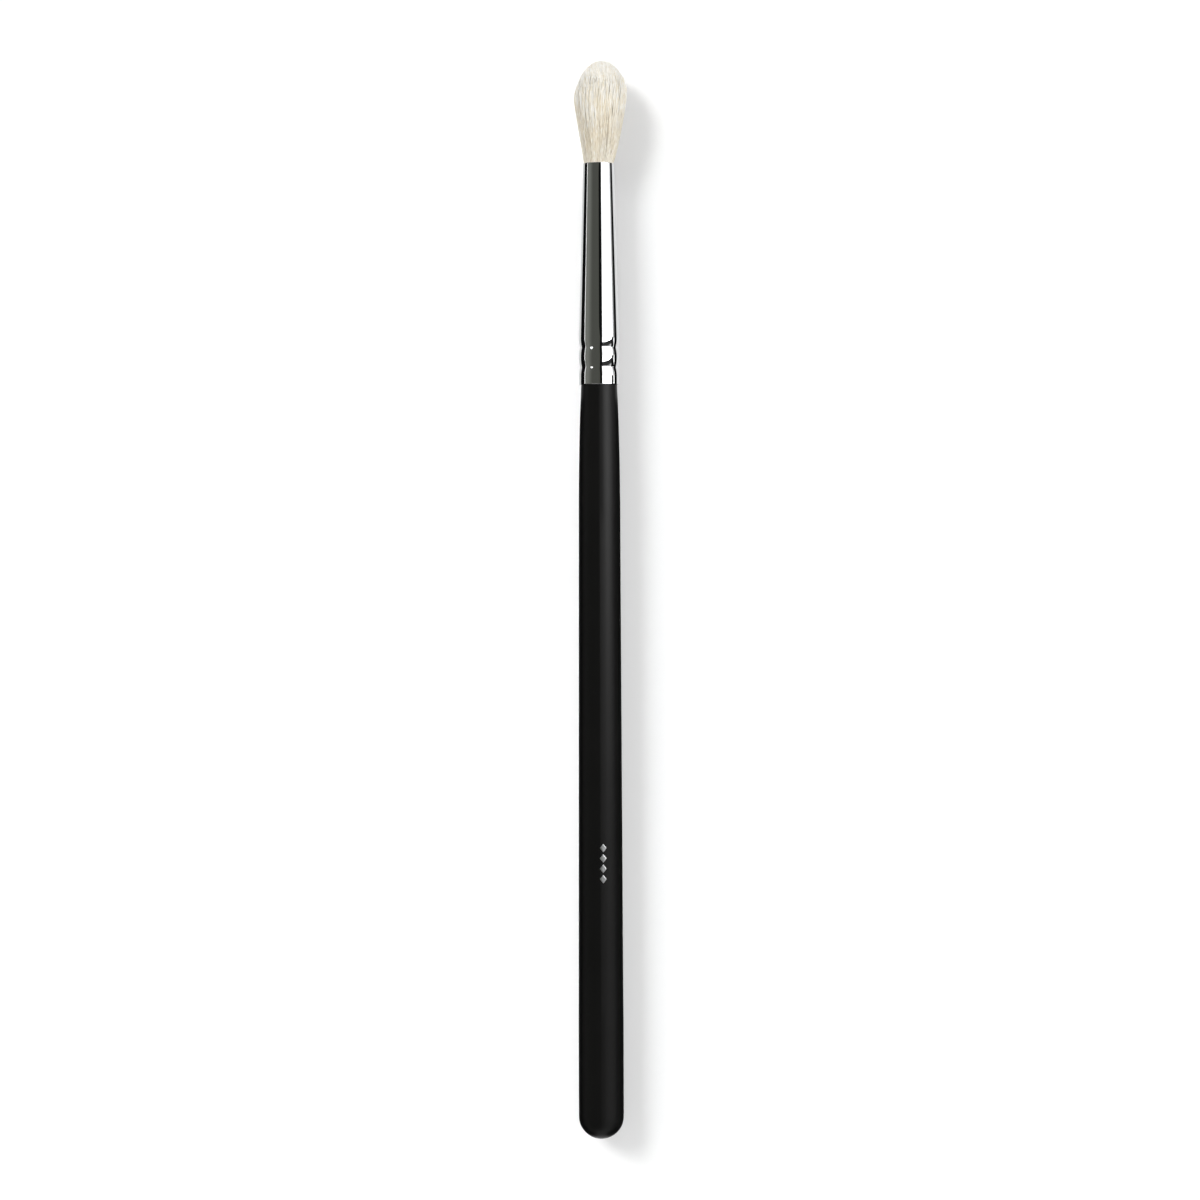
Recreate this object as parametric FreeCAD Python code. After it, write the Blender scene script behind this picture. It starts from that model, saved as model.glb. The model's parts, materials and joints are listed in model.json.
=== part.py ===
import FreeCAD, Part
import math
import os

from FreeCAD import Vector

# Eyeshadow blending brush lying on a table, with the tuft towards +X.
# All sizes are in millimetres. Each piece is turned about the brush's own axis, on which a station
# is a distance from the butt end, and then the whole brush is laid down on the table.

# Handle, turned in one piece with its tenon
handle_length = 126.0
butt_diameter = 7.53
butt_straight_length = 16.0
waist_diameter = 6.95
neck_length = 20.0
tenon_length = 14.0
tenon_chamfer = 0.5

# Ferrule, a tapered tube with two rolled crimps
ferrule_length = 37.0
ferrule_rim_diameter = 6.66
ferrule_mouth_diameter = 5.1
ferrule_wall = 0.2
lower_crimp_height = 2.95
crimp_spacing = 3.3
crimp_depth = 0.17
crimp_bead_radius = 0.25
crimp_shoulder_radius = 6.0

# Glue film on the tenon, and the slack left wherever one piece lies inside another
glue_film = 0.11
fit_clearance = 0.01

# Hair outside the ferrule
hair_out_length = 17.2
tuft_diameter = 8.86
belly_height_share = 0.64
nose_radius_share = 0.745
belly_roll = 0.8
tuft_foot_height = 0.35

# Hair inside the ferrule, with its tie and the glue cup that holds its roots
hair_set_depth = 12.0
plug_floor = 1.5
plug_cover = 2.5
plug_wall = 0.35
tie_rise = 1.0
tie_slope = 0.8
thread_diameter = 0.3
thread_gap = 0.45
thread_turns = 4

# Radii and stations that follow from the sizes above
butt_radius = butt_diameter / 2
waist_radius = waist_diameter / 2
rim_radius = ferrule_rim_diameter / 2
mouth_radius = ferrule_mouth_diameter / 2
tuft_radius = tuft_diameter / 2
nose_radius = tuft_radius * nose_radius_share
thread_radius = thread_diameter / 2
tenon_inset = ferrule_wall + glue_film
bore_fit = ferrule_wall + fit_clearance

waist_station = handle_length - neck_length
rim_station = handle_length
tenon_end = rim_station + tenon_length
chamfer_station = tenon_end - tenon_chamfer
lower_crimp_station = rim_station + lower_crimp_height
upper_crimp_station = lower_crimp_station + crimp_spacing
mouth_station = rim_station + ferrule_length
belly_station = mouth_station + hair_out_length * belly_height_share
tip_station = mouth_station + hair_out_length
root_station = mouth_station - hair_set_depth
plug_top = root_station + plug_cover

# Shape of a crimp: its bead is tangent to a round shoulder on either side
crimp_reach = crimp_bead_radius + crimp_shoulder_radius
crimp_half_width = math.sqrt(crimp_depth * (2 * crimp_reach - crimp_depth))
crimp_angle = math.asin(crimp_half_width / crimp_reach)

# The ferrule's cone runs from its mouth to a tangent on the upper crimp's last shoulder
last_shoulder_station = upper_crimp_station + crimp_half_width
last_shoulder_radius = rim_radius - crimp_shoulder_radius
cone_run = mouth_station - last_shoulder_station
cone_fall = mouth_radius - last_shoulder_radius
cone_reach = math.hypot(cone_run, cone_fall)
cone_angle = math.asin(crimp_shoulder_radius / cone_reach) - math.atan2(cone_fall, cone_run)


def at(station, radius):
    """Point of an outline, in the plane that holds the axis."""
    return Vector(station, 0, radius)


def line(start, end):
    return Part.LineSegment(start, end).toShape()


def lines(points):
    """Straight edges from each point to the next."""
    return [line(start, end) for start, end in zip(points, points[1:])]


def arc(start, through, end):
    return Part.Arc(start, through, end).toShape()


def around(centre, radius, angle):
    """Point on a circle, at an angle taken from straight outwards and rising towards the tuft."""
    return centre + Vector(math.sin(angle), 0, math.cos(angle)) * radius


def swing(centre, radius, first, last):
    """Arc about a centre from the first angle to the last."""
    return arc(*(around(centre, radius, angle) for angle in (first, (first + last) / 2, last)))


def tangent_arc(start, heading, end):
    """Arc that leaves start along heading and ends at end."""
    chord = end - start
    turn = heading.getAngle(chord)
    side = heading - chord * (heading.dot(chord) / chord.dot(chord))
    side.normalize()
    bulge = chord.Length / 2 * math.tan(turn / 2)
    return arc(start, start + chord / 2 + side * bulge, end)


def turned(edges):
    """Solid turned about the axis from the edges of its closed outline."""
    outline = Part.Face(Part.Wire(Part.__sortEdges__(edges)))
    return outline.revolve(Vector(0, 0, 0), Vector(1, 0, 0), 360)


def on_cone(station, inset):
    """Radius of the ferrule's cone, set in from its outer face by inset, square to the metal."""
    rise = (mouth_station - station) * math.tan(cone_angle)
    return mouth_radius + rise - inset / math.cos(cone_angle)


def crimp(station, inset, last_angle):
    """Shoulder, bead and shoulder of one crimp, set in from the ferrule's outer face."""
    shoulder = crimp_shoulder_radius - inset
    below = at(station - crimp_half_width, last_shoulder_radius)
    bead = at(station, rim_radius - crimp_depth + crimp_bead_radius)
    above = at(station + crimp_half_width, last_shoulder_radius)
    return [
        swing(below, shoulder, 0, crimp_angle),
        swing(bead, crimp_bead_radius + inset, math.pi + crimp_angle, math.pi - crimp_angle),
        swing(above, shoulder, -crimp_angle, last_angle),
    ]


def ferrule_skin(inset, low, high):
    """The ferrule's long face, through both crimps and up the cone, from station low to station high.

    Inset 0 is the outer face. The same line set further in gives the bore, the glue film and the tenon.
    """
    radius = rim_radius - inset
    last_shoulder = at(last_shoulder_station, last_shoulder_radius)
    cone_start = around(last_shoulder, crimp_shoulder_radius - inset, cone_angle)
    return [
        line(at(low, radius), at(lower_crimp_station - crimp_half_width, radius)),
        *crimp(lower_crimp_station, inset, 0),
        line(
            at(lower_crimp_station + crimp_half_width, radius),
            at(upper_crimp_station - crimp_half_width, radius),
        ),
        *crimp(upper_crimp_station, inset, cone_angle),
        line(cone_start, at(high, on_cone(high, inset))),
    ]


def make_handle():
    """Round butt, straight stretch, long taper, curved neck, and the tenon crimped in the ferrule."""
    straight_start = at(butt_radius, butt_radius)
    straight_end = at(butt_radius + butt_straight_length, butt_radius)
    waist = at(waist_station, waist_radius)
    neck = at(rim_station, rim_radius - tenon_inset)
    chamfer_radius = on_cone(chamfer_station, tenon_inset)
    return turned([
        swing(at(butt_radius, 0), butt_radius, -math.pi / 2, 0),
        *lines([straight_start, straight_end, waist]),
        tangent_arc(waist, waist - straight_end, neck),
        *ferrule_skin(tenon_inset, rim_station, chamfer_station),
        *lines([
            at(chamfer_station, chamfer_radius),
            at(tenon_end, chamfer_radius - tenon_chamfer),
            at(tenon_end, 0),
            at(0, 0),
        ]),
    ])


def make_ferrule():
    """Thin tube between two set-in lines of the same skin, with both edges rounded over."""
    lip = ferrule_wall / 2
    low = rim_station + lip
    high = mouth_station - lip
    rim_inside = rim_radius - ferrule_wall
    mouth_outside = on_cone(high, 0)
    mouth_inside = on_cone(high, ferrule_wall)
    mouth_middle = (mouth_outside + mouth_inside) / 2
    return turned([
        *ferrule_skin(0, low, high),
        *ferrule_skin(ferrule_wall, low, high),
        arc(at(low, rim_radius), at(rim_station, rim_radius - lip), at(low, rim_inside)),
        arc(at(high, mouth_outside), at(mouth_station, mouth_middle), at(high, mouth_inside)),
    ])


def make_tenon_glue():
    """Film that fills the room between the tenon and the ferrule's bore."""
    tenon_fit = tenon_inset - fit_clearance
    low = rim_station + ferrule_wall
    high = chamfer_station
    return turned([
        *ferrule_skin(bore_fit, low, high),
        *ferrule_skin(tenon_fit, low, high),
        line(at(low, rim_radius - bore_fit), at(low, rim_radius - tenon_fit)),
        line(at(high, on_cone(high, bore_fit)), at(high, on_cone(high, tenon_fit))),
    ])


# The roots stand in the glue cup, and just above it the thread sinks into the hair by its own thickness
root_radius = on_cone(plug_top, bore_fit) - plug_wall - fit_clearance
tie_radius = root_radius - thread_diameter
thread_pitch = thread_diameter + thread_gap
thread_climb = thread_turns * thread_pitch
tie_low = plug_top + tie_rise
tie_high = tie_low + thread_climb + thread_diameter


def make_bristle_tuft():
    """Hair bundle: roots, tied waist, the part pressed into the cone, then the belly and the dome."""
    swell = tie_high + tie_slope
    foot = at(mouth_station + tuft_foot_height, mouth_radius)
    nose = at(tip_station - nose_radius, 0)
    dome = nose.x - belly_station
    overlap = dome ** 2 + tuft_radius ** 2 - nose_radius ** 2
    belly_radius = overlap / (2 * (tuft_radius - nose_radius))
    belly = at(belly_station, tuft_radius - belly_radius)
    roll_angle = -math.asin(belly_roll / belly_radius)
    nose_angle = math.atan2(dome, -belly.z)
    roll = around(belly, belly_radius, roll_angle)
    downwards = Vector(-math.cos(roll_angle), 0, math.sin(roll_angle))
    return turned([
        *lines([
            at(tip_station, 0),
            at(root_station, 0),
            at(root_station, root_radius),
            at(plug_top, root_radius),
            at(tie_low, tie_radius),
            at(tie_high, tie_radius),
            at(swell, on_cone(swell, bore_fit)),
            at(mouth_station, on_cone(mouth_station, bore_fit)),
            foot,
        ]),
        tangent_arc(roll, downwards, foot),
        swing(belly, belly_radius, roll_angle, nose_angle),
        swing(nose, nose_radius, nose_angle, math.pi / 2),
    ])


def make_root_glue_plug():
    """Cup of hard glue that fills the cone below the hair and grips its roots."""
    low = root_station - plug_floor
    socket = root_radius + fit_clearance
    floor = root_station - fit_clearance
    return turned(lines([
        at(low, 0),
        at(low, on_cone(low, bore_fit)),
        at(plug_top, on_cone(plug_top, bore_fit)),
        at(plug_top, socket),
        at(floor, socket),
        at(floor, 0),
        at(low, 0),
    ]))


def thread_point(angle):
    """Place and heading of the tie thread's middle line at an angle of its winding."""
    winding_radius = tie_radius + thread_radius + fit_clearance
    lead = thread_pitch / (2 * math.pi)
    station = tie_low + thread_radius + lead * angle
    place = Vector(station, winding_radius * math.cos(angle), winding_radius * math.sin(angle))
    heading = Vector(lead, -winding_radius * math.sin(angle), winding_radius * math.cos(angle))
    return place, heading.normalize()


def biarc(start, start_heading, end, end_heading):
    """Two arcs, tangent to each other, that join two places of a curve with its unit headings there."""
    chord = end - start
    both = start_heading + end_heading
    spread = 4 - both.dot(both)
    along = chord.dot(both)
    reach = (math.sqrt(along ** 2 + spread * chord.dot(chord)) - along) / spread
    first_corner = start + start_heading * reach
    last_corner = end - end_heading * reach
    joint = (first_corner + last_corner) / 2
    return [
        tangent_arc(start, start_heading, joint),
        tangent_arc(joint, last_corner - first_corner, end),
    ]


def make_root_tie_thread():
    """Thread wound round the tied waist of the hair in one unbroken helix, two arcs to a quarter turn."""
    quarter = math.pi / 2
    path = []
    for step in range(thread_turns * 4):
        path += biarc(*thread_point(step * quarter), *thread_point((step + 1) * quarter))
    section = Part.Circle(*thread_point(0), thread_radius)
    thread = Part.Wire(path).makePipeShell([Part.Wire(section.toShape())], True, False)
    length = sum(edge.Length for edge in path)
    print(f"tie thread: {length:.2f} mm long, solid over section times length "
          f"{thread.Volume / (math.pi * thread_radius ** 2 * length):.4f}")
    return thread


# The belly of the tuft and the round butt both touch the table, so the axis rises a little towards the tuft
tilt = math.asin((tuft_radius - butt_radius) / (belly_station - butt_radius))
lying_length = butt_radius + (tip_station - butt_radius) * math.cos(tilt)


def lie_down(piece):
    """Lay a piece on the table, with the middle of the brush's footprint at the origin."""
    piece.rotate(at(butt_radius, 0), Vector(0, 1, 0), -math.degrees(tilt))
    piece.translate(Vector(-lying_length / 2, 0, butt_radius))
    return piece


pieces = {
    "handle": make_handle(),
    "ferrule": make_ferrule(),
    "tenon_glue": make_tenon_glue(),
    "bristle_tuft": make_bristle_tuft(),
    "root_glue_plug": make_root_glue_plug(),
    "root_tie_thread": make_root_tie_thread(),
}

os.makedirs("parts", exist_ok=True)
for name, piece in pieces.items():
    lie_down(piece).exportStep(f"parts/{name}.step")
    print(f"{name}: {piece.Volume:.2f} mm3, valid {piece.isValid()}")
print(f"lying length {lying_length:.2f} mm, tilt {math.degrees(tilt):.3f} degrees")
print(f"cone angle {math.degrees(cone_angle):.3f}, crimp slope {math.degrees(crimp_angle):.1f} degrees")
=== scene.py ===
# %% [markdown]
# An eyeshadow brush lies on a white table: a black lacquered wood handle, a plated metal ferrule with
# two crimps, and a round tuft of cream hair. The CAD model gives every rigid shape and its place, so
# this lesson is about the looks. Everything is in metres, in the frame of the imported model.

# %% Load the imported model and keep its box
import json
import math
import bpy
import numpy as np
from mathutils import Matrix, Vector


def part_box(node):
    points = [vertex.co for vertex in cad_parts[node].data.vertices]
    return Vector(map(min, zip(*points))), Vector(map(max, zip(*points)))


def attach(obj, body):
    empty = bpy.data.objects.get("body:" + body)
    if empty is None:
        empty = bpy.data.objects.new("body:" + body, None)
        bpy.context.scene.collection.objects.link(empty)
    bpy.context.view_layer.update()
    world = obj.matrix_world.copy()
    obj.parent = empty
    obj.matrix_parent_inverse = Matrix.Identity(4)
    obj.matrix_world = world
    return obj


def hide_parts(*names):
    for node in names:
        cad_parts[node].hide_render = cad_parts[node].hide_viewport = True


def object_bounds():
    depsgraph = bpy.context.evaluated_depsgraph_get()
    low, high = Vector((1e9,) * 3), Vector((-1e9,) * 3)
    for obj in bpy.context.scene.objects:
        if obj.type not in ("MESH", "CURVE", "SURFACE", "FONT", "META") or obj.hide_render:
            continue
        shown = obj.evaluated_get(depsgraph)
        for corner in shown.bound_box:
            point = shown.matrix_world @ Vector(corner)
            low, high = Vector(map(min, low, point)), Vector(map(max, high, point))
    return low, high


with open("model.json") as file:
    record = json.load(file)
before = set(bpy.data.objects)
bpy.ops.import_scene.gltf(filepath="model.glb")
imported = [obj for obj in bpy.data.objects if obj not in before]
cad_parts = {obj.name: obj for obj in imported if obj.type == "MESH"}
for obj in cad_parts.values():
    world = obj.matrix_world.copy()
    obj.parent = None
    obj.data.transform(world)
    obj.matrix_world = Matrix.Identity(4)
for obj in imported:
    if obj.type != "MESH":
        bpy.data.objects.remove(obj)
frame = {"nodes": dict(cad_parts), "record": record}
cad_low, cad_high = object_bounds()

MM = 0.001
print("CAD box, mm:", [round(v / MM, 2) for v in (*cad_low, *cad_high)])

# %% [markdown]
# The brush rests on the end of its handle and on its hair, so its axis rises a little. The mount in the
# record lies on that axis. One helper then places everything: a station along the axis counted from the
# butt, a radius, and a turn about the axis. A turn of 0 points up and a positive turn goes to -Y.

# %% Find the axis of the brush
seat = frame["record"]["mounts"][0]
along = -Vector(seat["axis"])
across = Vector((0, -1, 0))
above = across.cross(along).normalized()
handle_low, handle_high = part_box("handle")
ferrule_low, ferrule_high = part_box("ferrule")
tuft_low, tuft_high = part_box("bristle_tuft")
seat_point = Vector(seat["pos_m"])
butt = seat_point + along * ((handle_low.x - seat_point.x) / along.x)
mouth_station = (ferrule_high.x - butt.x) / along.x
tip_station = (tuft_high.x - butt.x) / along.x
rim_station = (ferrule_low.x - butt.x) / along.x


def on_brush(station, radius, turn):
    """The point at this station of the axis, this far from it, at this turn about it."""
    outward = across * math.sin(turn) + above * math.cos(turn)
    return butt + along * station + outward * radius


print("stations, mm: rim", round(rim_station / MM, 2), "mouth", round(mouth_station / MM, 2),
      "tip", round(tip_station / MM, 2))

# %% [markdown]
# The photograph looks straight down, with the tuft at the top. A long lens is used because a product
# picture of a small thing is taken from far off, and its edges stay nearly parallel. The picture rows of
# the two ends set the scale, and the column and lean of the handle set the camera's place and roll.

# %% Set up the camera
PICTURE_SIZE = 1200
TIP_ROW = 61.0
BUTT_ROW = 1138.8
AXIS_COLUMN = 599.8
AXIS_LEAN = math.radians(0.18)
LENS = 100.0
SENSOR = 36.0
pixel = (cad_high.x - cad_low.x) / (BUTT_ROW - TIP_ROW)
axis_height = on_brush(0.5 * tip_station, 0, 0).z
camera_data = bpy.data.cameras.new("camera")
camera_data.lens = LENS
camera_data.sensor_width = SENSOR
camera = bpy.data.objects.new("camera", camera_data)
bpy.context.scene.collection.objects.link(camera)
camera.location = (
    cad_high.x - (PICTURE_SIZE / 2 - TIP_ROW) * pixel,
    (AXIS_COLUMN - PICTURE_SIZE / 2) * pixel,
    axis_height + pixel * PICTURE_SIZE * LENS / SENSOR,
)
camera.rotation_euler = (0, 0, -math.pi / 2 - AXIS_LEAN)
bpy.context.scene.camera = camera
bpy.context.scene.view_settings.view_transform = "Standard"
print("one picture pixel is", round(pixel / MM, 4), "mm; camera height", round(camera.location.z, 3), "m")

# %% [markdown]
# Node trees are easier to read as sums than as wires. The class Wire stands for one output socket:
# adding, taking away, multiplying or dividing it adds a Math node, or a Vector Math node for vectors.
# The class Finish keeps one node tree, and its method node makes any other node: first the settings,
# then the values or wires of its inputs.

# %% Wires and finishes
class Wire:
    """One output socket of a finish. Sums with it add nodes to the tree of that finish."""

    def __init__(self, finish, socket):
        self.finish = finish
        self.socket = socket

    def pick(self, output):
        """Another output of the same node."""
        return Wire(self.finish, self.socket.node.outputs[output])

    def combine(self, operation, first, second):
        if self.socket.type == "VECTOR":
            kind = "ShaderNodeVectorMath"
            first, second = (v if isinstance(v, (Wire, tuple)) else (v, v, v) for v in (first, second))
        else:
            kind = "ShaderNodeMath"
        return self.finish.node(kind, {"operation": operation}, {0: first, 1: second})

    def __add__(self, other):
        return self.combine("ADD", self, other)

    def __radd__(self, other):
        return self.combine("ADD", other, self)

    def __sub__(self, other):
        return self.combine("SUBTRACT", self, other)

    def __rsub__(self, other):
        return self.combine("SUBTRACT", other, self)

    def __mul__(self, other):
        return self.combine("MULTIPLY", self, other)

    def __rmul__(self, other):
        return self.combine("MULTIPLY", other, self)

    def __truediv__(self, other):
        return self.combine("DIVIDE", self, other)

    def __rtruediv__(self, other):
        return self.combine("DIVIDE", other, self)


class Finish:
    """A node tree with one method for any node, and a few short ways to the common ones."""

    def __init__(self, tree):
        self.tree = tree
        tree.nodes.clear()

    def node(self, kind, settings=None, inputs=None, output=0):
        made = self.tree.nodes.new(kind)
        for name, value in (settings or {}).items():
            if name == "stops":
                self.set_stops(made.color_ramp, value)
            else:
                setattr(made, name, value)
        for name, value in (inputs or {}).items():
            if isinstance(value, Wire):
                self.tree.links.new(value.socket, made.inputs[name])
            else:
                made.inputs[name].default_value = value
        return Wire(self, made.outputs[output]) if len(made.outputs) else None

    def set_stops(self, ramp, stops):
        while len(ramp.elements) < len(stops):
            ramp.elements.new(0.5)
        for element, (place, colour) in zip(ramp.elements, stops):
            element.position = place
            element.color = (*colour, 1)

    def blend(self, share, first, second):
        """A colour between two colours."""
        colours = [c if isinstance(c, Wire) else (*c, 1) for c in (first, second)]
        settings = {"data_type": "RGBA", "clamp_factor": True}
        return self.node("ShaderNodeMix", settings, {0: share, 6: colours[0], 7: colours[1]}, 2)

    def ramp(self, share, low, high, first=0.0, second=1.0):
        """A value that goes smoothly from first to second while share goes from low to high."""
        settings = {"interpolation_type": "SMOOTHSTEP"}
        return self.node("ShaderNodeMapRange", settings, {0: share, 1: low, 2: high, 3: first, 4: second})

    def place(self):
        """Where a point lies, in metres along X, Y and Z of the object."""
        return self.node("ShaderNodeTexCoord", output="Object")

    def noise(self, place, size, detail=2.0, roughness=0.5):
        """Cloudy noise from 0 to 1 with features of about this size, in metres."""
        inputs = {"Vector": place, "Scale": 1 / size, "Detail": detail, "Roughness": roughness}
        return self.node("ShaderNodeTexNoise", {}, inputs)

    def attribute(self, name):
        """A number that the mesh carries for each point."""
        return self.node("ShaderNodeAttribute", {"attribute_name": name}, output="Fac")

    def bump(self, height, depth):
        """A normal that follows a height from 0 to 1, as deep as this, in metres."""
        return self.node("ShaderNodeBump", {}, {"Height": height, "Distance": depth, "Strength": 1.0})

    def shade(self, inputs):
        """The main shader, joined to the output of the tree."""
        shader = self.node("ShaderNodeBsdfPrincipled", {}, inputs)
        self.node("ShaderNodeOutputMaterial", {}, {"Surface": shader})


def new_finish(name):
    """An empty material and the finish that fills it."""
    material = bpy.data.materials.new(name)
    material.use_nodes = True
    return material, Finish(material.node_tree)


def dress(piece, material):
    """Gives the whole piece one material."""
    piece.data.materials.clear()
    piece.data.materials.append(material)


print("nodes come from one method; sums come from", Wire.__name__)

# %% [markdown]
# The table is a wide plane. A camera would show a lit white sheet as light grey, so what the camera and
# the mirrors see is partly the sheet itself and partly plain white. The sheet keeps its shadow, and
# diffuse light that bounces off it stays at the level of real paper. Only the light that the ferrule
# would throw back into its own shadow is held off, as a photographer does with a small black flag.

# %% Table and sky
SQUARE = ((-1, -1), (1, -1), (1, 1), (-1, 1))
TABLE_HALF_WIDTH = 4.0
TABLE_DROP = 0.02 * MM
WHITE_SHARE = 0.10
SKY_LIGHT = 0.32


def on_show(path):
    """1 while a ray has met no matt surface yet, so that mirrors throw no extra light on the table."""
    return path.combine("LESS_THAN", path.pick("Diffuse Depth"), 0.5)


def seen_directly(finish):
    """1 for rays from the camera and for mirror or glass rays, otherwise 0."""
    path = finish.node("ShaderNodeLightPath", output="Is Camera Ray")
    mirror = path.pick("Is Glossy Ray")
    glass = path.pick("Is Transmission Ray")
    seen = path.combine("MAXIMUM", path, path.combine("MAXIMUM", mirror, glass))
    return seen * on_show(path)


def thrown_back(finish):
    """1 for rays that went from a matt surface to a mirror, otherwise 0."""
    path = finish.node("ShaderNodeLightPath", output="Is Glossy Ray")
    return path * (1 - on_show(path))


def show_piece(name, mesh):
    """An object in the scene that shows this mesh."""
    piece = bpy.data.objects.new(name, mesh)
    bpy.context.scene.collection.objects.link(piece)
    return piece


def mesh_piece(name, points, faces):
    """An object made of these points and faces."""
    mesh = bpy.data.meshes.new(name)
    mesh.from_pydata([tuple(p) for p in points], [], faces)
    return show_piece(name, mesh)


def flat_piece(name, corners):
    """An object of one four-cornered face."""
    return mesh_piece(name, corners, [(0, 1, 2, 3)])


table = flat_piece("table", [(a * TABLE_HALF_WIDTH, b * TABLE_HALF_WIDTH, -TABLE_DROP) for a, b in SQUARE])
table_paper, sheet = new_finish("table_paper")
fibres = sheet.noise(sheet.place(), 3 * MM, 3.0)
paper_colour = sheet.blend(fibres, (0.94, 0.94, 0.94), (0.96, 0.96, 0.96))
paper = sheet.node("ShaderNodeBsdfPrincipled", {}, {
    "Base Color": paper_colour,
    "Roughness": 1.0,
    "Specular IOR Level": 0.0,
})
glow = sheet.node("ShaderNodeEmission", {}, {"Color": (1, 1, 1, 1), "Strength": 1.0})
white_part = seen_directly(sheet) * WHITE_SHARE
top = sheet.node("ShaderNodeMixShader", {}, {0: white_part, 1: paper, 2: glow})
unlit = sheet.node("ShaderNodeBsdfDiffuse", {}, {"Color": (0, 0, 0, 1)})
flagged = sheet.node("ShaderNodeMixShader", {}, {0: thrown_back(sheet), 1: top, 2: unlit})
sheet.node("ShaderNodeOutputMaterial", {}, {"Surface": flagged})
dress(table, table_paper)

world = bpy.data.worlds.new("studio")
world.use_nodes = True
bpy.context.scene.world = world
sky = Finish(world.node_tree)
soft = sky.node("ShaderNodeBackground", {}, {"Color": (1, 1, 1, 1), "Strength": SKY_LIGHT})
bright = sky.node("ShaderNodeBackground", {}, {"Color": (1, 1, 1, 1), "Strength": 1.0})
whole = sky.node("ShaderNodeMixShader", {}, {0: seen_directly(sky), 1: soft, 2: bright})
sky.node("ShaderNodeOutputWorld", {}, {"Surface": whole})
print("table of", 2 * TABLE_HALF_WIDTH, "m; soft sky light of", SKY_LIGHT)

# %% [markdown]
# The key lamp comes from the upper left of the picture, low enough that the shadow falls to the lower
# right of the brush. A sun lamp is used because its light is equal all over the table. Its disc is wide,
# so the edge of the shadow is soft. A fill lamp from the right keeps the far side of the hair light. Its
# shadow would spoil the clean left side of the picture, so it lights the brush alone, and a table lamp
# that casts no shadow takes its place on the table. Mirrors see none of these lamps: the cards below are
# made for them.

# %% Key, fill and table lamps
KEY_DIRECTION = Vector((0.85, 1.00, 1.00)).normalized()
FILL_DIRECTION = Vector((0.20, -0.60, 0.77)).normalized()
KEY_LIGHT = 0.37
FILL_LIGHT = 0.46
KEY_DISC = math.radians(27)
FILL_DISC = math.radians(40)
TABLE_DISC = math.radians(10)


def sun(name, direction, level, disc):
    """A sun lamp that adds this level of light to a white sheet lying flat."""
    data = bpy.data.lights.new(name, "SUN")
    data.energy = level * math.pi / direction.z
    data.angle = disc
    lamp = bpy.data.objects.new(name, data)
    bpy.context.scene.collection.objects.link(lamp)
    lamp.rotation_mode = "QUATERNION"
    lamp.rotation_quaternion = direction.to_track_quat("Z", "Y")
    lamp.visible_glossy = False
    return lamp


def meets_table(lamp, state):
    """The lamp lights only the table, or everything but the table."""
    group = bpy.data.collections.new(lamp.name + "_on_table")
    group.objects.link(table)
    group.collection_objects[0].light_linking.link_state = state
    lamp.light_linking.receiver_collection = group


key_lamp = sun("key_lamp", KEY_DIRECTION, KEY_LIGHT, KEY_DISC)
fill_lamp = sun("fill_lamp", FILL_DIRECTION, FILL_LIGHT, FILL_DISC)
meets_table(fill_lamp, "EXCLUDE")
table_lamp = sun("table_lamp", Vector((0, 0, 1)), FILL_LIGHT, TABLE_DISC)
table_lamp.data.use_shadow = False
table_lamp.data.cycles.use_multiple_importance_sampling = False
meets_table(table_lamp, "INCLUDE")
print("light on the table:", round(SKY_LIGHT + KEY_LIGHT + FILL_LIGHT, 2))

# %% [markdown]
# Polished metal is only as good as what it mirrors. A photographer stands white and black cards round a
# ferrule, and the stripes on the tube are pictures of them. Here the cards are seen by mirror rays alone,
# so they neither light the table nor shade it. An angle of 0 is straight up, and a positive one is
# towards the right of the picture. A tube mirrors twice the angle of its own slope.

# %% Cards round the brush
CARD_DISTANCE = 0.30
CARD_END = 0.8
BEND_STEPS = 24
OVAL_STEPS = 32
STRIP_LIFT = 0.05 * MM


def mirror_only(card):
    """The card is seen by mirror rays alone, and is no part of the brush."""
    card.visible_camera = False
    card.visible_diffuse = False
    card.visible_transmission = False
    card.visible_volume_scatter = False
    card.visible_shadow = False


def glow_card(card, colour):
    """Gives a card its glow, which only rays that come straight from a mirror can see."""
    light = card.node("ShaderNodeEmission", {}, {"Color": colour, "Strength": 1.0})
    clear = card.node("ShaderNodeBsdfTransparent")
    shown = on_show(card.node("ShaderNodeLightPath"))
    mixed = card.node("ShaderNodeMixShader", {}, {0: shown, 1: clear, 2: light})
    card.node("ShaderNodeOutputMaterial", {}, {"Surface": mixed})


def even_card(name, level):
    """A card finish of one even brightness."""
    material, card = new_finish(name)
    glow_card(card, (level, level, level, 1))
    return material


def curved_card(name, first_angle, last_angle, low_x, high_x, distance, material):
    """A card bent about the brush, from one angle to another."""
    points = []
    for step in range(BEND_STEPS + 1):
        angle = math.radians(first_angle + (last_angle - first_angle) * step / BEND_STEPS)
        side = -distance * math.sin(angle)
        height = axis_height + distance * math.cos(angle)
        points.append((low_x, side, height))
        points.append((high_x, side, height))
    faces = [(2 * i, 2 * i + 1, 2 * i + 3, 2 * i + 2) for i in range(BEND_STEPS)]
    card = mesh_piece(name, points, faces)
    dress(card, material)
    mirror_only(card)


def floor_card(name, near, far, low_x, high_x, material):
    """A strip just over the table, between two distances to the right of the axis."""
    corners = [(low_x, near), (high_x, near), (high_x, far), (low_x, far)]
    card = flat_piece(name, [(x, -right, STRIP_LIFT) for x, right in corners])
    dress(card, material)
    mirror_only(card)


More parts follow.
